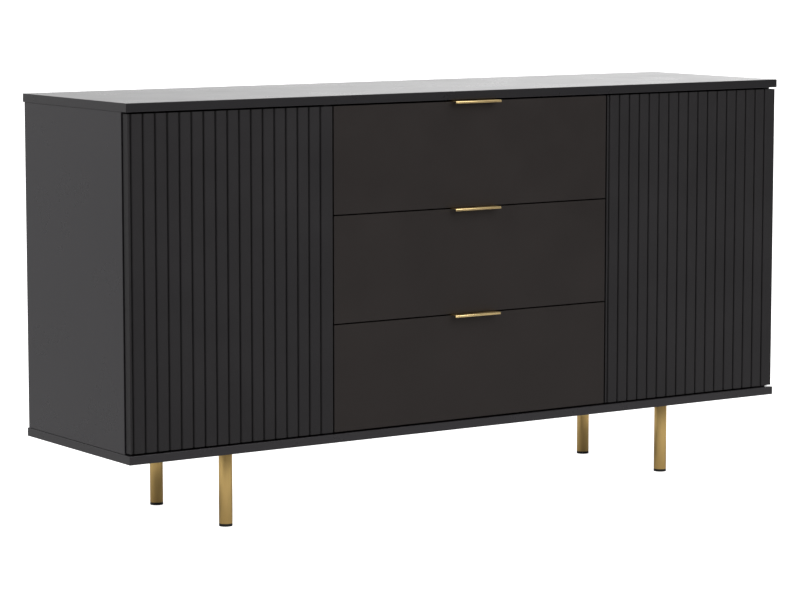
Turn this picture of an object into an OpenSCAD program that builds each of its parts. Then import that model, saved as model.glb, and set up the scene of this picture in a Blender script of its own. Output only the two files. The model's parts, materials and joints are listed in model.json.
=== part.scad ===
// Sideboard with two fluted push-to-open doors, three drawers with edge pulls and four round legs.
// Millimetres. X is the width, -Y is the front, Z is up. The origin is on the floor, under the
// centre of the whole piece, pulls included.

/* [Body] */
// Width over the top board
body_w = 1500; // [1300:10:1700]
// Depth of the top and bottom boards
body_d = 392; // [380:1:450]
// Height from the underside of the bottom board to the top surface
body_h = 643; // [600:1:700]
// Thickness of the boards
board_t = 16; // [15:1:19]
// How far the top and bottom boards run past the side boards
end_overhang = 1.5; // [0:0.5:3]
// How far the upright boards stand behind the front edge of the top board
upright_set_back = 21.5; // [21.5:0.5:24]
// How far the upright boards stop short of the back edge of the top board
upright_back_gap = 3.5; // [3.5:0.5:8]
// Thickness of the hardboard back
back_t = 3; // [2.5:0.5:3]
// From the end of the top board to the centre of the nearer partition
door_bay_w = 433; // [380:1:480]

/* [Fronts] */
// Thickness of the doors and drawer fronts
front_t = 16; // [16:1:17]
// How far the fronts stand behind the front edge of the top board
front_set_back = 2.5; // [1:0.5:2.5]
// Gap between one drawer front and the next
front_gap = 2.5; // [2:0.5:3]
// Gap between a door and the drawer fronts
door_gap = 3; // [2:0.5:4]
// Gap between a front and the board above or below it
front_clear = 3.5; // [3:0.5:4]
// How far a door stops short of the outer face of a side board
door_inset = 2; // [1:0.5:3]

/* [Flutes] */
// Distance from one groove to the next
flute_pitch = 24.75; // [20:0.25:30]
// Width of a groove
flute_w = 2.4; // [1.6:0.2:3]
// Depth of a groove
flute_depth = 3.5; // [3.5:0.5:4]
// Rounding of each strip's long edges
flute_round = 3; // [1:0.5:3]
// From the left edge of a door to the centre of its first groove
flute_first = 6; // [5:0.5:8]
// Number of grooves in a door
flute_count = 17; // [12:1:17]

/* [Drawers] */
// Number of drawers
drawer_count = 3; // [3:1:3]
// Height of a drawer box
box_h = 120; // [90:5:140]
// Length of a drawer box behind its front
box_l = 350; // [300:10:350]
// Thickness of the drawer box boards
box_t = 12; // [10:1:15]
// Thickness of the drawer's hardboard bottom
box_bottom_t = 3; // [3:1:4]

/* [Pulls] */
// Width of an edge pull
pull_w = 105; // [80:5:160]
// How far the pull stands out from the drawer front
pull_out = 16.5; // [12:0.5:20]
// Height of the pull's lip
pull_lip = 4.5; // [4:0.5:10]
// Thickness of the pull's sheet metal
pull_t = 1.4; // [1:0.2:1.6]

/* [Legs] */
// Height from the floor to the underside of the bottom board
leg_h = 145; // [120:5:180]
// Diameter of a leg
leg_dia = 25; // [20:1:30]
// Distance of the leg centres from the ends of the body
leg_inset_x = 238; // [100:1:300]
// Distance of the leg centres from the front and back edges
leg_inset_y = 68; // [50:1:90]
// Height of the black glide under a leg
glide_h = 5; // [4:1:8]

/* [Shelves] */
// Height of a shelf's underside above the bottom board
shelf_z = 298; // [200:1:400]
// Depth of a shelf
shelf_d = 330; // [280:5:345]

/* [Hinges] */
// Distance of a hinge from the top or bottom edge of its door
hinge_inset = 90; // [70:5:120]
// Diameter of the hinge cup
cup_dia = 35; // [35:1:35]
// Depth of the hinge cup in the door
cup_depth = 11.5; // [11:0.5:11.5]

/* [Hidden] */
$fn = 48;
eps = 0.01;

board_color = [0.21, 0.205, 0.21];
front_color = [0.17, 0.165, 0.17];
drawer_color = [0.18, 0.17, 0.165];
gold = [0.78, 0.66, 0.40];
nickel = [0.75, 0.75, 0.77];
zinc = [0.62, 0.64, 0.66];
hardboard = [0.10, 0.10, 0.10];
plastic_black = [0.05, 0.05, 0.05];
plastic_grey = [0.55, 0.55, 0.55];
beech = [0.80, 0.66, 0.48];
box_color = [0.23, 0.225, 0.23];

// Levels and planes of the body
pull_proud = pull_out - front_set_back;
y_front = -(body_d - pull_proud) / 2;
y_back = y_front + body_d;
y_upright = y_front + upright_set_back;
y_upright_back = y_back - upright_back_gap;
upright_d = y_upright_back - y_upright;
z_deck = leg_h + board_t;
z_top = leg_h + body_h;
z_ceiling = z_top - board_t;
upright_h = z_ceiling - z_deck;
x_end = body_w / 2;
x_side = x_end - end_overhang - board_t;
x_side_mid = x_side + board_t / 2;
x_part = x_end - door_bay_w;
x_bay = x_part - board_t / 2;
x_back = x_side + board_t - 3;
back_seam = 0.5;
bay_w = x_side - x_part - board_t / 2;

// Fronts
y_face = y_front + front_set_back;
y_rear = y_face + front_t;
z_fronts = z_deck + front_clear;
door_h = upright_h - 2 * front_clear;
x_door_edge = x_side + board_t - door_inset;
door_w = x_door_edge - x_part - door_gap / 2;
drawer_w = 2 * x_part - door_gap;
drawer_h = (door_h - (drawer_count - 1) * front_gap) / drawer_count;
drawer_step = drawer_h + front_gap;

// Joinery in the ends of the upright boards
joint_ys = [y_upright + 60, y_upright_back - 60];
dowel_step = 32;
cam_dia = 15;
cam_h = 12.5;
cam_drop = 34;
bolt_dia = 6;
bolt_head = 7;
bolt_grip = 10;
bolt_bore = 7.4;
dowel_dia = 7.8;
dowel_bore = 8;
dowel_len = 30;
dowel_grip = 10;

// Shelf pins
pin_dia = 5;
pin_out = 8;
pin_in = 8;
pin_fit = 0.1;
shelf_play = 1;
z_shelf = z_deck + shelf_z;
y_shelf = y_upright + (upright_d - shelf_d) / 2 + 10;
pin_ys = [y_shelf + 40, y_shelf + shelf_d - 40];

// Legs
plate_w = 60;
plate_t = 2.5;
plate_pitch = 44;
tube_wall = 2;
screw_dia = 4;
screw_head_dia = 7.5;
screw_head_h = 2.2;
screw_len = 14;
glide_fit = 0.2;
glide_plug_h = 12;
leg_x = x_end - leg_inset_x;
leg_ys = [y_front + leg_inset_y, y_back - leg_inset_y];

// Hinge, seen from above at the left door: distances from the door's outer edge and its rear face
cup_inset = 22.5;
cup_wall = 1.1;
cup_fit = 0.1;
flange_t = 1;
flange_r = 19.5;
flange_l = 58;
flange_w = 20;
hinge_pin_r = 1.5;
hinge_pin_fit = 0.05;
knuckle_r = 2.8;
link_t = 2.4;
link_w = 12;
link_play = 0.4;
link_bow = 2.8;
fork_t = 1.6;
arm_pin = [33, -4.5];
cup_pin = [11, -6.5];
arm_w = link_w + 2 * (link_play + fork_t);
arm_t = 2;
arm_l = 62;
arm_drop = 9;
neck_x = 24;
base_t = 2.4;
base_l = 32;
base_w = 44;
base_y = y_upright + 37;
euro_dia = 5;
euro_head = 8;
euro_head_h = 1.6;
euro_len = 10;
euro_pitch = 32;
hinge_zs = [z_fronts + hinge_inset, z_fronts + door_h - hinge_inset];

// Drawer boxes and slides
slide_t = 13;
slide_h = 45;
slide_metal = 1.2;
slide_play = 0.4;
slide_reach = 9.5;
box_w = 2 * (x_bay - slide_t);
box_lift = 22;
groove_lift = 8;
box_groove = 6;
slide_lift = box_h / 2;

// Push latches
latch_w = 12;
latch_h = 14;
latch_l = 60;
latch_drop = 40;
rod_r = 3;
rod_fit = 0.05;
rod_l = 44;
tip_r = 4.5;
tip_t = 1.5;
tip_gap = 0.3;
press_travel = 2.5;
strike_w = 14;
strike_t = 1;
y_strike = y_rear + strike_t;
y_tip_back = y_strike + tip_gap + tip_t;
y_latch = y_tip_back + press_travel + tip_gap;
z_latch = z_ceiling - latch_drop;
x_latch = x_part + board_t / 2 + latch_w / 2;

// ---------------------------------------------------------------- shared shapes

// A board from one corner
module board(at, size) {
    translate(at) cube(size);
}

// Draws its children at the left and mirrored at the right
module both_ends() {
    children();
    mirror([1, 0, 0]) children();
}

// Bores for the cam bolts and dowels where the upright boards meet a top or bottom board
module joint_bores(face_z, depth) {
    for (x = [-x_side_mid, -x_part, x_part, x_side_mid])
        for (y = joint_ys) {
            translate([x, y, face_z]) cylinder(d = bolt_dia, h = depth);
            translate([x, y + dowel_step, face_z]) cylinder(d = dowel_bore, h = depth);
        }
}

// The four leg positions
module at_legs() {
    for (x = [-leg_x, leg_x])
        for (y = leg_ys)
            translate([x, y, 0]) children();
}

// The four screw positions of a leg plate
module at_plate_screws() {
    for (x = [-1, 1])
        for (y = [-1, 1])
            translate([x * plate_pitch / 2, y * plate_pitch / 2, 0]) children();
}

// An upright board with its joinery; face is the side that the cams go in from, -1 left, 1 right
module upright(x, face, pin_faces) {
    difference() {
        board([x - board_t / 2, y_upright, z_deck], [board_t, upright_d, upright_h]);
        for (y = joint_ys)
            for (end = [0, 1]) {
                z_end = end == 0 ? z_deck : z_ceiling;
                into = end == 0 ? 1 : -1;
                translate([x + face * (board_t / 2 - cam_h), y, z_end + into * cam_drop])
                    rotate([0, face * 90, 0])
                        cylinder(d = cam_dia, h = cam_h + 1);
                translate([x, y, z_end - (end == 0 ? 1 : cam_drop)])
                    cylinder(d = bolt_bore, h = cam_drop + 1);
                translate([x, y + dowel_step, z_end - (end == 0 ? 1 : dowel_len - dowel_grip)])
                    cylinder(d = dowel_bore, h = dowel_len - dowel_grip + 1);
            }
        for (side = pin_faces)
            for (y = pin_ys)
                translate([x + side * (board_t / 2 - pin_in - pin_fit), y, z_shelf - pin_dia / 2])
                    rotate([0, side * 90, 0])
                        cylinder(d = pin_dia + 2 * pin_fit, h = pin_in + 1);
    }
}

// Screw holes of the hinge plates in the left side board
module plate_bores() {
    for (z = hinge_zs)
        for (s = [-1, 1])
            translate([-x_side - euro_len, base_y, z + s * euro_pitch / 2])
                rotate([0, 90, 0]) cylinder(d = euro_dia, h = euro_len + 1);
}

// ---------------------------------------------------------------- body

module top_panel() {
    color(board_color) difference() {
        board([-x_end, y_front, z_ceiling], [body_w, body_d, board_t]);
        joint_bores(z_ceiling - 1, bolt_grip + 1);
    }
}

module bottom_panel() {
    color(board_color) difference() {
        board([-x_end, y_front, leg_h], [body_w, body_d, board_t]);
        joint_bores(z_deck - bolt_grip, bolt_grip + 1);
        at_legs() at_plate_screws()
            translate([0, 0, leg_h - 1]) cylinder(d = screw_dia, h = screw_len - plate_t + 1);
    }
}

module side_left() {
    color(board_color) difference() {
        upright(-x_side_mid, 1, [1]);
        plate_bores();
    }
}

module side_right() {
    color(board_color) difference() {
        upright(x_side_mid, -1, [-1]);
        mirror([1, 0, 0]) plate_bores();
    }
}

module partition_left() {
    color(board_color) upright(-x_part, -1, [-1]);
}

module partition_right() {
    color(board_color) upright(x_part, 1, [1]);
}

module back_sheet(x_from, x_to) {
    color(hardboard) board([x_from, y_upright_back, z_deck], [x_to - x_from, back_t, upright_h]);
}

module shelf(x) {
    w = bay_w - 2 * shelf_play;
    color(board_color) board([x - w / 2, y_shelf, z_shelf], [w, shelf_d, board_t]);
}

module shelf_pins() {
    color(nickel) both_ends()
        for (y = pin_ys)
            for (end = [0, 1])
                translate([end == 0 ? -x_side - pin_in : -x_part - board_t / 2 - pin_out,
                           y, z_shelf - pin_dia / 2])
                    rotate([0, 90, 0]) cylinder(d = pin_dia, h = pin_in + pin_out);
}

// One cam lock, its bolt channel upward, drawn in from the face at the origin
module cam_lock(face, into) {
    difference() {
        translate([face * (board_t / 2 - cam_h), 0, 0])
            rotate([0, face * 90, 0])
                cylinder(d = cam_dia - 0.2, h = cam_h);
        translate([0, 0, into == 1 ? -cam_dia : -eps])
            cylinder(d = bolt_bore, h = cam_dia);
        translate([face * board_t / 2, 0, 0]) cube([2.4, 1.6, 9], center = true);
        translate([face * board_t / 2, 0, 0]) cube([2.4, 9, 1.6], center = true);
    }
}

// The upright boards, as centre and the side that their cams face
function upright_list() = [[-x_side_mid, 1], [-x_part, -1], [x_part, 1], [x_side_mid, -1]];

module cam_locks() {
    color(zinc)
        for (u = upright_list())
            for (y = joint_ys) {
                translate([u[0], y, z_deck + cam_drop]) cam_lock(u[1], 1);
                translate([u[0], y, z_ceiling - cam_drop]) cam_lock(u[1], -1);
            }
}

// A cam bolt standing up from a bottom board
module cam_bolt() {
    translate([0, 0, -bolt_grip]) cylinder(d = bolt_dia - 0.2, h = bolt_grip + cam_drop - 2);
    translate([0, 0, cam_drop - 3]) cylinder(d = bolt_head, h = 3);
}

module cam_bolts() {
    color(zinc)
        for (u = upright_list())
            for (y = joint_ys) {
                translate([u[0], y, z_deck]) cam_bolt();
                translate([u[0], y, z_ceiling]) mirror([0, 0, 1]) cam_bolt();
            }
}

module dowels() {
    color(beech)
        for (u = upright_list())
            for (y = joint_ys)
                for (z = [z_deck - dowel_grip, z_ceiling + dowel_grip - dowel_len])
                    translate([u[0], y + dowel_step, z]) cylinder(d = dowel_dia, h = dowel_len);
}

// ---------------------------------------------------------------- legs

module leg(x, y) {
    color(gold) translate([x, y, glide_h]) difference() {
        cylinder(d = leg_dia, h = leg_h - plate_t - glide_h, $fn = 96);
        translate([0, 0, -1])
            cylinder(d = leg_dia - 2 * tube_wall, h = leg_h, $fn = 96);
    }
}

module leg_plates() {
    corner = 6;
    color(gold) at_legs() translate([0, 0, leg_h - plate_t]) difference() {
        union() {
            translate([-plate_w / 2 + corner, -plate_w / 2, 0])
                cube([plate_w - 2 * corner, plate_w, plate_t]);
            translate([-plate_w / 2, -plate_w / 2 + corner, 0])
                cube([plate_w, plate_w - 2 * corner, plate_t]);
            for (x = [-1, 1])
                for (y = [-1, 1])
                    translate([x * (plate_w / 2 - corner), y * (plate_w / 2 - corner), 0])
                        cylinder(r = corner, h = plate_t);
        }
        at_plate_screws() translate([0, 0, -1]) cylinder(d = screw_dia + 0.5, h = plate_t + 2);
    }
}

module leg_screws() {
    color(nickel) at_legs() at_plate_screws() translate([0, 0, leg_h - plate_t]) {
        translate([0, 0, -screw_head_h]) cylinder(d = screw_head_dia, h = screw_head_h);
        translate([0, 0, -eps]) cylinder(d = screw_dia - 0.2, h = screw_len);
    }
}

module foot_glides() {
    color(plastic_black) at_legs() {
        cylinder(d = leg_dia, h = glide_h, $fn = 96);
        cylinder(d = leg_dia - 2 * tube_wall - 2 * glide_fit, h = glide_h + glide_plug_h, $fn = 96);
    }
}

// ---------------------------------------------------------------- doors

// Outline of one groove as seen from above, cut back from the front face
module flute_outline() {
    bite = 0.05;
    translate([-flute_w / 2, -1]) square([flute_w, flute_depth + 1]);
    difference() {
        translate([-flute_w / 2 - flute_round + bite, -1])
            square([flute_w + 2 * (flute_round - bite), flute_round - bite + 1]);
        for (s = [-1, 1])
            translate([s * (flute_w / 2 + flute_round - bite), flute_round - bite])
                circle(r = flute_round);
    }
}

// A door blank from its left edge, fluted from top to bottom
module door_blank() {
    linear_extrude(door_h) difference() {
        square([door_w, front_t]);
        for (i = [0 : flute_count - 1])
            translate([flute_first + i * flute_pitch, 0]) flute_outline();
    }
}

// The cup holes of a left door
module cup_holes() {
    for (z = hinge_zs)
        translate([-x_door_edge + cup_inset, y_rear - cup_depth, z])
            rotate([-90, 0, 0]) cylinder(d = cup_dia, h = cup_depth + 1, $fn = 96);
}

module door_left() {
    color(front_color) difference() {
        translate([-x_door_edge, y_face, z_fronts]) door_blank();
        cup_holes();
    }
}

module door_right() {
    color(front_color) difference() {
        translate([x_door_edge - door_w, y_face, z_fronts]) door_blank();
        mirror([1, 0, 0]) cup_holes();
    }
}

// ---------------------------------------------------------------- hinges, drawn for the left door

// Moves its children to a point given from the door's outer edge and rear face
module at_hinge(p) {
    translate([-x_door_edge + p[0], y_rear + p[1], 0]) children();
}

module hinge_cup(z) {
    translate([0, 0, z]) {
        difference() {
            union() {
                at_hinge([cup_inset, -cup_depth + cup_fit])
                    rotate([-90, 0, 0])
                        cylinder(d = cup_dia - 2 * cup_fit, h = cup_depth, $fn = 96);
                at_hinge([cup_inset, 0])
                    rotate([-90, 0, 0]) cylinder(r = flange_r, h = flange_t, $fn = 96);
                at_hinge([cup_inset - flange_w / 2, 0])
                    translate([0, 0, -flange_l / 2]) cube([flange_w, flange_t, flange_l]);
            }
            at_hinge([cup_inset, -cup_depth + cup_fit + cup_wall])
                rotate([-90, 0, 0])
                    cylinder(d = cup_dia - 2 * cup_fit - 2 * cup_wall, h = cup_depth + 2, $fn = 96);
        }
        intersection() {
            at_hinge(cup_pin) cylinder(r = hinge_pin_r, h = cup_dia, center = true);
            at_hinge([cup_inset, -cup_depth + cup_fit])
                rotate([-90, 0, 0])
                    cylinder(d = cup_dia - 2 * cup_fit - cup_wall, h = cup_depth, $fn = 96);
        }
    }
}

// The link's outline: a shallow bow from the cup's pin to the arm's pin
module link_outline() {
    span = norm(arm_pin - cup_pin);
    bow_r = (span * span / 4 + link_bow * link_bow) / (2 * link_bow);
    lean = atan2(arm_pin[1] - cup_pin[1], arm_pin[0] - cup_pin[0]);
    for (p = [arm_pin, cup_pin]) translate(p) circle(r = knuckle_r);
    translate(cup_pin) rotate(lean) translate([span / 2, bow_r - link_bow])
        intersection() {
            difference() {
                circle(r = bow_r + link_t / 2, $fn = 180);
                circle(r = bow_r - link_t / 2, $fn = 180);
            }
            translate([-span / 2, -bow_r - link_t]) square([span, bow_r]);
        }
}

module hinge_link(z) {
    translate([-x_door_edge, y_rear, z - link_w / 2])
        difference() {
            linear_extrude(link_w) link_outline();
            for (p = [arm_pin, cup_pin])
                translate([p[0], p[1], -1]) cylinder(r = hinge_pin_r + hinge_pin_fit, h = link_w + 2);
        }
}

// One cheek or web of the arm, as an outline from above
module arm_outline() {
    x_base = x_door_edge - x_side + base_t;
    back = y_upright - y_rear;
    translate(arm_pin) circle(r = knuckle_r);
    polygon([
        [arm_pin[0] - knuckle_r, arm_pin[1]],
        [arm_pin[0] + knuckle_r, arm_pin[1]],
        [arm_pin[0] + knuckle_r, back + arm_drop],
        [x_base + arm_drop, back + 2 * arm_drop],
        [x_base + arm_drop, back + arm_l],
        [x_base, back + arm_l],
        [x_base, back + arm_drop - 1],
        [neck_x, back + 1]]);
}

module hinge_arm(z) {
    x_base = x_door_edge - x_side + base_t;
    back = y_upright - y_rear;
    translate([-x_door_edge, y_rear, z]) {
        for (s = [-1, 1])
            translate([0, 0, s * (arm_w - fork_t) / 2 - fork_t / 2])
                linear_extrude(fork_t) arm_outline();
        translate([x_base + arm_drop - arm_t, back + 2 * arm_drop, -arm_w / 2])
            cube([arm_t, arm_l - 2 * arm_drop, arm_w]);
        translate([arm_pin[0], arm_pin[1], 0])
            cylinder(r = hinge_pin_r, h = arm_w, center = true);
    }
}

module hinge_arms() {
    color(nickel) both_ends() for (z = hinge_zs) hinge_arm(z);
}

module hinge_plates() {
    color(nickel) both_ends() for (z = hinge_zs)
        difference() {
            union() {
                translate([-x_side, base_y - base_w / 4, z - base_w / 2])
                    cube([base_t, base_w / 2, base_w]);
                translate([-x_side, base_y - base_l / 2, z - link_w / 2])
                    cube([base_t, base_l, link_w]);
            }
            for (s = [-1, 1])
                translate([-x_side - 1, base_y, z + s * euro_pitch / 2])
                    rotate([0, 90, 0]) cylinder(d = euro_dia + 0.4, h = base_t + 2);
        }
}

module plate_screws() {
    color(zinc) both_ends() for (z = hinge_zs) for (s = [-1, 1])
        translate([-x_side, base_y, z + s * euro_pitch / 2]) rotate([0, 90, 0]) {
            translate([0, 0, -euro_len]) cylinder(d = euro_dia - 0.2, h = euro_len + base_t);
            translate([0, 0, base_t]) cylinder(d = euro_head, h = euro_head_h);
        }
}

module hinge_cups_left() {
    color(nickel) for (z = hinge_zs) hinge_cup(z);
}

module hinge_cups_right() {
    color(nickel) mirror([1, 0, 0]) for (z = hinge_zs) hinge_cup(z);
}

module hinge_links_left() {
    color(nickel) for (z = hinge_zs) hinge_link(z);
}

module hinge_links_right() {
    color(nickel) mirror([1, 0, 0]) for (z = hinge_zs) hinge_link(z);
}

// ---------------------------------------------------------------- push latches, drawn at the left

module latch() {
    color(plastic_grey) difference() {
        translate([-x_latch - latch_w / 2, y_latch, z_latch - latch_h / 2])
            cube([latch_w, latch_l, latch_h]);
        translate([-x_latch, y_latch - 1, z_latch])
            rotate([-90, 0, 0]) cylinder(r = rod_r + rod_fit, h = latch_l - 8);
    }
}

module plunger() {
    color(plastic_black) translate([-x_latch, y_tip_back, z_latch]) rotate([-90, 0, 0]) {
        translate([0, 0, -tip_t]) cylinder(r = tip_r, h = tip_t);
        translate([0, 0, -eps]) cylinder(r = rod_r, h = rod_l);
    }
}

module strike() {
    color(zinc) translate([-x_latch - strike_w / 2, y_rear, z_latch - strike_w / 2])
        cube([strike_w, strike_t, strike_w]);
}

// ---------------------------------------------------------------- drawers, i = 1 at the top

function front_z(i) = z_fronts + (drawer_count - i) * drawer_step;

function slide_z(i) = front_z(i) + box_lift + slide_lift;

module drawer_front(i) {
    color(drawer_color) board([-drawer_w / 2, y_face, front_z(i)], [drawer_w, front_t, drawer_h]);
}

// The groove that the hardboard bottom slides into
module bottom_groove(i) {
    translate([-box_w / 2 + box_t - box_groove, y_rear - 1, front_z(i) + box_lift + groove_lift])
        cube([box_w - 2 * box_t + 2 * box_groove, box_l + 2, box_bottom_t]);
}

module drawer_sides(i) {
    color(box_color) difference() {
        both_ends()
            board([-box_w / 2, y_rear, front_z(i) + box_lift], [box_t, box_l, box_h]);
        bottom_groove(i);
    }
}

module drawer_back(i) {
    lift = groove_lift + box_bottom_t;
    color(box_color) board([-box_w / 2 + box_t, y_rear + box_l - box_t, front_z(i) + box_lift + lift],
                           [box_w - 2 * box_t, box_t, box_h - lift]);
}

module drawer_bottom(i) {
    color(hardboard) board([-box_w / 2 + box_t - box_groove, y_rear, front_z(i) + box_lift + groove_lift],
                           [box_w - 2 * box_t + 2 * box_groove, box_l, box_bottom_t]);
}

// A C-shaped rail section: its web at u, opening towards +u or -u, in the plane across the slide
module rail_section(u, reach, half_h, opens) {
    difference() {
        translate([opens > 0 ? u : u - reach, -half_h]) square([reach, 2 * half_h]);
        translate([opens > 0 ? u + slide_metal : u - reach - 1, -half_h + slide_metal])
            square([reach - slide_metal + 1, 2 * (half_h - slide_metal)]);
    }
}

// A rail along Y at the left partition's inner face, from its section
module rail(i) {
    translate([-x_bay, y_rear + box_l, slide_z(i)])
        rotate([90, 0, 0]) linear_extrude(box_l) children();
}

// A rail that stands back behind the drawer front, clear of it
module inset_rail(i) {
    translate([-x_bay, y_rear + box_l, slide_z(i)])
        rotate([90, 0, 0]) linear_extrude(y_rear + box_l - y_upright) children();
}

module cabinet_rails() {
    color(zinc) both_ends()
        for (i = [1 : drawer_count])
            inset_rail(i) rail_section(0, slide_reach, slide_h / 2, 1);
}

module middle_rails(i) {
    half_h = slide_h / 2 - slide_metal - slide_play;
    color(zinc) both_ends()
        inset_rail(i) rail_section(slide_metal + slide_play, slide_reach, half_h, 1);
}

module drawer_rails(i) {
    half_h = slide_h / 2 - 2 * (slide_metal + slide_play);
    color(zinc) both_ends()
        rail(i) rail_section(slide_t, slide_reach, half_h, -1);
}

// Section of the edge pull: rear flange, top plate over the drawer front, and lip
module pull_section() {
    corner = 2.2;
    rear_h = 12;
    difference() {
        union() {
            translate([-pull_out + corner, 0]) square([pull_out + front_t - corner + pull_t, pull_t]);
            translate([-pull_out, pull_t - pull_lip]) square([pull_t, pull_lip - corner]);
            translate([-pull_out + corner, pull_t - corner]) circle(r = corner);
            translate([front_t, -rear_h]) square([pull_t, rear_h + pull_t]);
        }
        translate([-pull_out + corner, pull_t - corner]) circle(r = corner - pull_t);
        translate([-pull_out + pull_t, -pull_lip]) square([pull_out - pull_t, pull_lip - corner + pull_t]);
        translate([-pull_out + corner, -pull_lip]) square([pull_out - corner, pull_lip]);
    }
}

module pull(i) {
    color(gold) translate([-pull_w / 2, y_face, front_z(i) + drawer_h])
        rotate([90, 0, 90]) linear_extrude(pull_w) pull_section();
}

// ---------------------------------------------------------------- nodes

top_panel();
bottom_panel();
side_left();
side_right();
partition_left();
partition_right();
back_sheet(-x_back, -x_part - back_seam);  // back_left
back_sheet(-x_part + back_seam, x_part - back_seam);  // back_middle
back_sheet(x_part + back_seam, x_back);  // back_right
shelf(-x_side + bay_w / 2);  // shelf_left
shelf(x_side - bay_w / 2);  // shelf_right
shelf_pins();
cam_locks();
cam_bolts();
dowels();
leg(-leg_x, leg_ys[0]);  // leg_front_left
leg(leg_x, leg_ys[0]);  // leg_front_right
leg(-leg_x, leg_ys[1]);  // leg_back_left
leg(leg_x, leg_ys[1]);  // leg_back_right
leg_plates();
leg_screws();
foot_glides();
hinge_plates();
plate_screws();
hinge_arms();
cabinet_rails();
latch();  // latch_left
mirror([1, 0, 0]) latch();  // latch_right
plunger();  // plunger_left
mirror([1, 0, 0]) plunger();  // plunger_right
door_left();
door_right();
hinge_cups_left();
hinge_cups_right();
hinge_links_left();
hinge_links_right();
strike();  // strike_left
mirror([1, 0, 0]) strike();  // strike_right
for (i = [1 : drawer_count]) {
    drawer_front(i);
    drawer_sides(i);
    drawer_back(i);
    drawer_bottom(i);
    drawer_rails(i);
    middle_rails(i);
    pull(i);
}
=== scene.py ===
"""Looks for the sideboard: materials, soft edges, floor, light and camera.

Metres, in the frame's own axes: X is the width, -Y the front, Z up, floor at 0.
"""

import json
import math

import bpy
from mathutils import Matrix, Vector

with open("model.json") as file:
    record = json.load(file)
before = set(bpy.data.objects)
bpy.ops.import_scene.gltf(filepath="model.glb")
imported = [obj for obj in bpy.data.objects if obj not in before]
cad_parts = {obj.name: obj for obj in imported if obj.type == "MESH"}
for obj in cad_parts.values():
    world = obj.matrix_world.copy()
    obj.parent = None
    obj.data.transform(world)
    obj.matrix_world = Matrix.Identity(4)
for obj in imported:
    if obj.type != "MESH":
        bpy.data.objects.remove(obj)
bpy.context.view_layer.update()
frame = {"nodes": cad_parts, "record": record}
nodes = frame["nodes"]

# ---------------------------------------------------------------- sizes and colours

BOARD_EDGE = 0.0008        # softened edge of a laminated board
FRONT_EDGE = 0.0006        # softened edge of a foiled front
METAL_EDGE = 0.0003        # broken edge of sheet metal
SMOOTH_ANGLE = math.radians(35)    # edges that turn more than this are softened
SAME_POINT = 0.000005      # corners nearer than this are one corner

BOARD_BLACK = (0.0235, 0.0225, 0.0245)
EDGE_BLACK = (0.0165, 0.016, 0.017)
DOOR_BLACK = (0.0200, 0.0191, 0.0196)
DRAWER_BLACK = (0.0150, 0.0125, 0.0118)
BOX_BLACK = (0.035, 0.034, 0.035)
HARDBOARD_BLACK = (0.030, 0.028, 0.027)
GOLD = (0.84, 0.578, 0.222)
PULL_SHEEN = (1.0, 0.73, 0.35)
NICKEL = (0.72, 0.70, 0.67)
ZINC = (0.60, 0.61, 0.63)
BEECH = (0.62, 0.44, 0.27)
PLASTIC_BLACK = (0.009, 0.009, 0.009)
PLASTIC_GREY = (0.42, 0.42, 0.43)
BOARD_TINT = (1.0, 0.95, 1.01, 1)      # of the gloss on boards and doors
DRAWER_TINT = (1.0, 0.90, 0.87, 1)     # of the gloss on drawer fronts
FLOOR_WHITE = (0.72, 0.72, 0.72)
FLOOR_REACH = (30.0, 2.4, 30.0)        # to each side, to the front and to the back

SKY_BEHIND = (-0.45, 0.80, 0.40)       # direction that the base light grows towards
SKY_BASE = (0.165, 0.84)               # light from the front and from behind
SKY_RIGHT = (0.90, 0.55, 0.10)         # direction of the extra light behind on the right
SKY_GLOW = 1.08
SKY_CAMERA = (-0.75, -0.62, 0.05)      # direction of the dim side
SKY_CAMERA_SIDE = 0.4                  # share of the light that is left there
SKY_SEEN = 1.2                         # brightness that the camera sees, whiter than white

BOX_PLACE = (0.4, -2.6, 2.4)           # of the soft box in front
BOX_TARGET = (0, -0.2, 0.2)
BOX_SIZE = 2.4
BOX_POWER = 55

CAMERA_PLACE = Vector((-3.3945, -4.9351, 1.1011))
CAMERA_YAW = math.radians(34.188)      # how far the camera is turned from +Y towards +X
CAMERA_PITCH = math.radians(6.948)     # how far it looks down
CAMERA_LENS = 139.16                   # focal length in mm

# ---------------------------------------------------------------- shader building blocks


def shade(color, factor):
    """The colour made lighter or darker by a factor."""
    return tuple(min(1.0, channel * factor) for channel in color)


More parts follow.
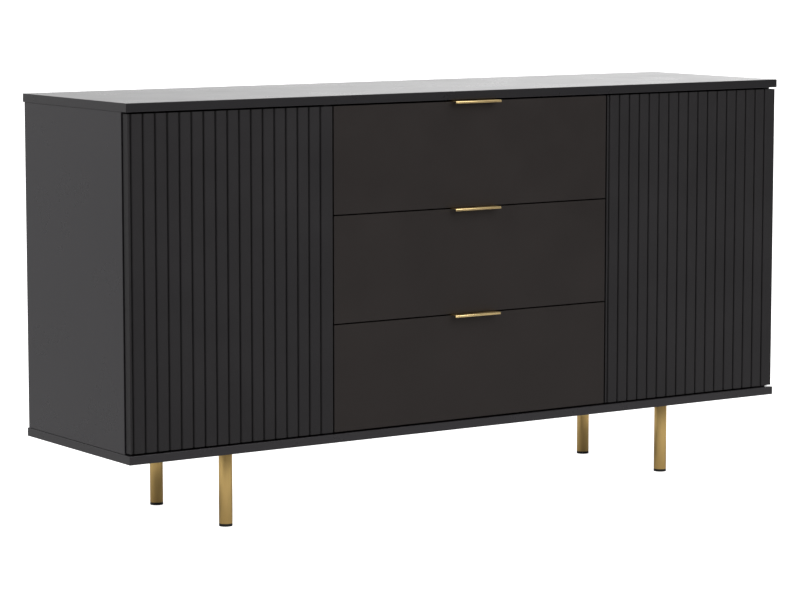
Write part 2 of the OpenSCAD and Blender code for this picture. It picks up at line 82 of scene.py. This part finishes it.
class Shader:
    """A material whose nodes are added one call at a time."""

    def __init__(self, name):
        self.material = bpy.data.materials.new(name)
        self.material.use_nodes = True
        self.tree = self.material.node_tree
        self.tree.nodes.clear()
        self.bsdf = self.tree.nodes.new("ShaderNodeBsdfPrincipled")
        self.output = self.tree.nodes.new("ShaderNodeOutputMaterial")
        self.tree.links.new(self.bsdf.outputs["BSDF"], self.output.inputs["Surface"])
        self.place = self.tree.nodes.new("ShaderNodeTexCoord").outputs["Object"]

    def link(self, source, target):
        self.tree.links.new(source, target)

    def set(self, **values):
        """Sets sockets of the surface shader, such as Metallic=1."""
        for name, value in values.items():
            self.bsdf.inputs[name.replace("_", " ")].default_value = value

    def stretched(self, scale):
        """Object coordinates scaled along each axis."""
        mapping = self.tree.nodes.new("ShaderNodeMapping")
        mapping.inputs["Scale"].default_value = scale
        self.link(self.place, mapping.inputs["Vector"])
        return mapping.outputs["Vector"]

    def noise(self, scale, detail=3.0, roughness=0.55, stretch=(1, 1, 1)):
        """Noise from 0 to 1, its scale in repeats per metre."""
        texture = self.tree.nodes.new("ShaderNodeTexNoise")
        texture.inputs["Scale"].default_value = scale
        texture.inputs["Detail"].default_value = detail
        texture.inputs["Roughness"].default_value = roughness
        self.link(self.stretched(stretch), texture.inputs["Vector"])
        return texture.outputs["Fac"]

    def faces_up(self):
        """One on faces that lie flat, nought on upright ones."""
        normal = self.tree.nodes.new("ShaderNodeTexCoord").outputs["Normal"]
        split = self.tree.nodes.new("ShaderNodeSeparateXYZ")
        self.link(normal, split.inputs["Vector"])
        size = self.tree.nodes.new("ShaderNodeMath")
        size.operation = "ABSOLUTE"
        self.link(split.outputs["Z"], size.inputs[0])
        return self.ranged(size.outputs["Value"], 0.0, 1.0, 0.35, 0.65)

    def cells(self, scale):
        """Distance to the nearest of scattered points, for a pearl or pitted surface."""
        texture = self.tree.nodes.new("ShaderNodeTexVoronoi")
        texture.inputs["Scale"].default_value = scale
        self.link(self.stretched((1, 1, 1)), texture.inputs["Vector"])
        return texture.outputs["Distance"]

    def ranged(self, value, low, high, start=0.3, end=0.7):
        """The value from start..end spread over low..high."""
        node = self.tree.nodes.new("ShaderNodeMapRange")
        node.inputs["From Min"].default_value = start
        node.inputs["From Max"].default_value = end
        node.inputs["To Min"].default_value = low
        node.inputs["To Max"].default_value = high
        self.link(value, node.inputs["Value"])
        return node.outputs["Result"]

    def mixed(self, amount, first, second):
        """A colour between two, by amount. Each colour is a tuple or a socket."""
        node = self.tree.nodes.new("ShaderNodeMix")
        node.data_type = "RGBA"
        self.link(amount, node.inputs["Factor"])
        for socket, color in (("A", first), ("B", second)):
            target = [s for s in node.inputs if s.name == socket and s.type == "RGBA"][0]
            if isinstance(color, tuple):
                target.default_value = (*color, 1)
            else:
                self.link(color, target)
        return [s for s in node.outputs if s.type == "RGBA"][0]

    def color(self, socket):
        self.link(socket, self.bsdf.inputs["Base Color"])

    def rough(self, socket):
        self.link(socket, self.bsdf.inputs["Roughness"])

    def bump(self, height, distance, strength=1.0, under=None):
        """A bump in metres, optionally on top of another bump."""
        node = self.tree.nodes.new("ShaderNodeBump")
        node.inputs["Distance"].default_value = distance
        node.inputs["Strength"].default_value = strength
        self.link(height, node.inputs["Height"])
        if under is not None:
            self.link(under, node.inputs["Normal"])
        self.link(node.outputs["Normal"], self.bsdf.inputs["Normal"])
        return node.outputs["Normal"]


# ---------------------------------------------------------------- materials


def melamine(name, color, roughness, edge_color=None):
    """Satin black laminate: pearl embossing, faint clouding and rubbed patches.

    With an edge colour, the narrow upright faces are a slightly different edge band.
    """
    s = Shader(name)
    clouded = s.mixed(s.ranged(s.noise(5, 4), 0, 1), shade(color, 0.93), shade(color, 1.07))
    if edge_color:
        clouded = s.mixed(s.faces_up(), edge_color, clouded)
    s.color(clouded)
    s.rough(s.ranged(s.noise(9, 5, 0.6), roughness - 0.015, roughness + 0.02))
    pearl = s.bump(s.cells(700), 0.00004, 0.5)
    s.bump(s.noise(160, 3), 0.00005, 0.35, under=pearl)
    s.set(Specular_IOR_Level=0.5, Specular_Tint=BOARD_TINT)
    return s.material


def foil(name, color, roughness, gloss, tint):
    """Matt foil wrapped over fibreboard: soft mottle and a very fine orange peel."""
    s = Shader(name)
    s.color(s.mixed(s.ranged(s.noise(7, 4), 0, 1), shade(color, 0.9), shade(color, 1.1)))
    s.rough(s.ranged(s.noise(14, 4), roughness - 0.03, roughness + 0.04))
    peel = s.bump(s.noise(420, 2), 0.00005, 0.45)
    s.bump(s.noise(1500, 2), 0.00001, 0.5, under=peel)
    s.set(Specular_IOR_Level=gloss, Specular_Tint=tint)
    return s.material


def hardboard(name, color):
    """Lacquered hardboard: pressed fibres and a faint weave."""
    s = Shader(name)
    fibres = s.noise(90, 6, 0.7, stretch=(1, 1, 2.5))
    s.color(s.mixed(s.ranged(fibres, 0, 1), shade(color, 0.75), shade(color, 1.35)))
    s.rough(s.ranged(fibres, 0.55, 0.75))
    s.bump(s.noise(700, 3), 0.00006, 0.6)
    return s.material


def brushed_metal(name, color, roughness, grain):
    """Brushed plated metal. grain is the stretch of the noise: small along the brushing."""
    s = Shader(name)
    lines = s.noise(900, 2, 0.5, stretch=grain)
    clouds = s.noise(12, 3)
    s.color(s.mixed(s.ranged(clouds, 0, 1), shade(color, 0.94), shade(color, 1.04)))
    s.rough(s.ranged(lines, roughness - 0.06, roughness + 0.08))
    s.bump(lines, 0.00001, 0.5)
    s.set(Metallic=1.0, Anisotropic=0.3)
    return s.material


def plated_metal(name, color, roughness):
    """Plain plated steel, slightly uneven."""
    s = Shader(name)
    s.color(s.mixed(s.ranged(s.noise(60, 3), 0, 1), shade(color, 0.94), shade(color, 1.04)))
    s.rough(s.ranged(s.noise(150, 4), roughness - 0.04, roughness + 0.05))
    s.bump(s.noise(500, 2), 0.00002, 0.4)
    s.set(Metallic=1.0)
    return s.material


def plastic(name, color, roughness):
    """Moulded plastic with a fine spark-eroded texture."""
    s = Shader(name)
    s.color(s.mixed(s.ranged(s.noise(40, 3), 0, 1), shade(color, 0.92), shade(color, 1.08)))
    s.rough(s.ranged(s.noise(200, 3), roughness - 0.05, roughness + 0.06))
    s.bump(s.noise(1400, 2), 0.00003, 0.5)
    return s.material


def beech(name, color):
    """Plain beech with short darker flecks along Z."""
    s = Shader(name)
    grain = s.noise(120, 5, 0.6, stretch=(1, 1, 0.08))
    s.color(s.mixed(s.ranged(grain, 0, 1), shade(color, 0.8), shade(color, 1.1)))
    s.rough(s.ranged(grain, 0.5, 0.7))
    s.bump(grain, 0.0001, 0.5)
    return s.material


BOARD = melamine("black_melamine", BOARD_BLACK, roughness=0.28)
TOP_BOARD = melamine("black_melamine_banded", BOARD_BLACK, roughness=0.28, edge_color=EDGE_BLACK)
DOOR = foil("black_door_foil", DOOR_BLACK, roughness=0.46, gloss=0.27, tint=BOARD_TINT)
DRAWER = foil("black_drawer_foil", DRAWER_BLACK, roughness=0.46, gloss=0.38, tint=DRAWER_TINT)
BOX = melamine("drawer_box_laminate", BOX_BLACK, roughness=0.5)
BACK = hardboard("black_hardboard", HARDBOARD_BLACK)
LEG_GOLD = brushed_metal("gold_legs", GOLD, roughness=0.36, grain=(1, 1, 0.03))
PULL_GOLD = brushed_metal("gold_pulls", PULL_SHEEN, roughness=0.30, grain=(0.03, 1, 1))
PLATED = plated_metal("nickel_plate", NICKEL, roughness=0.28)
ZINCED = plated_metal("zinc_plate", ZINC, roughness=0.36)
DARK_PLASTIC = plastic("black_plastic", PLASTIC_BLACK, roughness=0.45)
PALE_PLASTIC = plastic("grey_plastic", PLASTIC_GREY, roughness=0.45)
BEECH_WOOD = beech("beech_dowels", BEECH)

MATERIAL_OF_SLOT = {
    "black_board": BOARD,
    "black_door": DOOR,
    "black_drawer": DRAWER,
    "drawer_box": BOX,
    "hardboard": BACK,
    "gold": LEG_GOLD,
    "nickel": PLATED,
    "zinc": ZINCED,
    "black_plastic": DARK_PLASTIC,
    "grey_plastic": PALE_PLASTIC,
    "beech": BEECH_WOOD,
}
EDGE_OF_SLOT = {
    "black_board": BOARD_EDGE,
    "black_drawer": FRONT_EDGE,
    "drawer_box": BOARD_EDGE,
    "gold": METAL_EDGE,
    "zinc": METAL_EDGE,
}

# ---------------------------------------------------------------- CAD nodes


def paint(piece, material):
    """Gives every face of a piece the material."""
    piece.data.materials.clear()
    piece.data.materials.append(material)


def soften(piece, width):
    """Rounds a piece's sharp edges without touching its own mesh.

    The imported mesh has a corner's points once per face, so they are joined first.
    """
    weld = piece.modifiers.new("joined_corners", "WELD")
    weld.merge_threshold = SAME_POINT
    bevel = piece.modifiers.new("soft_edges", "BEVEL")
    bevel.width = width
    bevel.segments = 2
    bevel.limit_method = "ANGLE"
    bevel.angle_limit = SMOOTH_ANGLE
    bevel.harden_normals = True
    bevel.use_clamp_overlap = False


def material_of(name, slot):
    """The material of a node: its slot's, but for the brushed pulls and the banded boards."""
    if name.startswith("pull_"):
        return PULL_GOLD
    if name in ("top_panel", "bottom_panel"):
        return TOP_BOARD
    return MATERIAL_OF_SLOT[slot]


def dress_cad_nodes():
    slot_of = {row["node"]: row["material_slot"] for row in frame["record"]["subparts"]}
    for name, piece in nodes.items():
        slot = slot_of[name]
        paint(piece, material_of(name, slot))
        if slot in EDGE_OF_SLOT:
            soften(piece, EDGE_OF_SLOT[slot])


dress_cad_nodes()

# ---------------------------------------------------------------- floor, light and camera


def make_floor():
    """A pale floor: plain white to the camera, softly shaded for everything it is mirrored in.

    Its underside is see-through, so that the object can be looked at from below.
    """
    mesh = bpy.data.meshes.new("floor")
    across, front, back = FLOOR_REACH
    corners = [(-across, -front, 0), (across, -front, 0), (across, back, 0), (-across, back, 0)]
    mesh.from_pydata(corners, [], [(0, 1, 2, 3)])
    floor = bpy.data.objects.new("floor", mesh)
    bpy.context.scene.collection.objects.link(floor)
    s = Shader("floor_white")
    s.bsdf.inputs["Base Color"].default_value = (*FLOOR_WHITE, 1)
    s.set(Roughness=0.9)
    s.bsdf.inputs["Emission Color"].default_value = (1, 1, 1, 1)
    path = s.tree.nodes.new("ShaderNodeLightPath")
    s.link(path.outputs["Is Camera Ray"], s.bsdf.inputs["Emission Strength"])
    side = s.tree.nodes.new("ShaderNodeNewGeometry").outputs["Backfacing"]
    one_sided = s.tree.nodes.new("ShaderNodeMixShader")
    s.link(side, one_sided.inputs["Fac"])
    s.link(s.bsdf.outputs["BSDF"], one_sided.inputs[1])
    s.link(s.tree.nodes.new("ShaderNodeBsdfTransparent").outputs["BSDF"], one_sided.inputs[2])
    s.link(one_sided.outputs["Shader"], s.output.inputs["Surface"])
    floor.data.materials.append(s.material)


class Sky:
    """A studio round the object, its brightness set by direction."""

    def __init__(self):
        self.world = bpy.data.worlds.new("studio")
        self.world.use_nodes = True
        self.tree = self.world.node_tree
        self.tree.nodes.clear()
        self.direction = self.tree.nodes.new("ShaderNodeTexCoord").outputs["Generated"]

    def math(self, operation, first, second):
        """Two values combined. Each is a number or a socket."""
        node = self.tree.nodes.new("ShaderNodeMath")
        node.operation = operation
        for socket, value in zip(node.inputs, (first, second)):
            if isinstance(value, (int, float)):
                socket.default_value = value
            else:
                self.tree.links.new(value, socket)
        return node.outputs["Value"]

    def lobe(self, axis, start, end, low, high):
        """A value that goes from low to high as the direction turns towards an axis."""
        dot = self.tree.nodes.new("ShaderNodeVectorMath")
        dot.operation = "DOT_PRODUCT"
        dot.inputs[1].default_value = Vector(axis).normalized()
        self.tree.links.new(self.direction, dot.inputs[0])
        spread = self.tree.nodes.new("ShaderNodeMapRange")
        spread.interpolation_type = "SMOOTHSTEP"
        spread.inputs["From Min"].default_value = start
        spread.inputs["From Max"].default_value = end
        spread.inputs["To Min"].default_value = low
        spread.inputs["To Max"].default_value = high
        self.tree.links.new(dot.outputs["Value"], spread.inputs["Value"])
        return spread.outputs["Result"]

    def finish(self, strength):
        """Uses the strength for light, and plain white for what the camera sees."""
        path = self.tree.nodes.new("ShaderNodeLightPath")
        seen = path.outputs["Is Camera Ray"]
        unseen = self.math("SUBTRACT", 1, seen)
        white = self.math("MULTIPLY", SKY_SEEN, seen)
        total = self.math("ADD", self.math("MULTIPLY", strength, unseen), white)
        background = self.tree.nodes.new("ShaderNodeBackground")
        background.inputs["Color"].default_value = (1, 1, 1, 1)
        self.tree.links.new(total, background.inputs["Strength"])
        output = self.tree.nodes.new("ShaderNodeOutputWorld")
        self.tree.links.new(background.outputs["Background"], output.inputs["Surface"])
        bpy.context.scene.world = self.world


def make_world():
    """A white studio: bright behind, brightest behind on the right, dim round the camera."""
    sky = Sky()
    base = sky.lobe(SKY_BEHIND, -1.0, 0.7, *SKY_BASE)
    glow = sky.lobe(SKY_RIGHT, 0.78, 1.0, 0.0, SKY_GLOW)
    shade_off = sky.lobe(SKY_CAMERA, 0.72, 1.0, 1.0, SKY_CAMERA_SIDE)
    sky.finish(sky.math("MULTIPLY", sky.math("ADD", base, glow), shade_off))


def make_light(name, place, target, size, power):
    """A square soft box that faces a point."""
    lamp = bpy.data.lights.new(name, "AREA")
    lamp.energy = power
    lamp.size = size
    light = bpy.data.objects.new(name, lamp)
    light.location = place
    light.rotation_euler = (Vector(target) - Vector(place)).to_track_quat("-Z", "Y").to_euler()
    bpy.context.scene.collection.objects.link(light)


def make_camera():
    """The camera at the front left, a little above the top board."""
    data = bpy.data.cameras.new("camera")
    data.lens = CAMERA_LENS
    data.dof.use_dof = False
    camera = bpy.data.objects.new("camera", data)
    camera.location = CAMERA_PLACE
    camera.rotation_euler = (math.pi / 2 - CAMERA_PITCH, 0, -CAMERA_YAW)
    bpy.context.scene.collection.objects.link(camera)
    bpy.context.scene.camera = camera


make_floor()
make_world()
make_light("front_box", BOX_PLACE, BOX_TARGET, BOX_SIZE, BOX_POWER)
make_camera()
bpy.context.scene.view_settings.view_transform = "Standard"
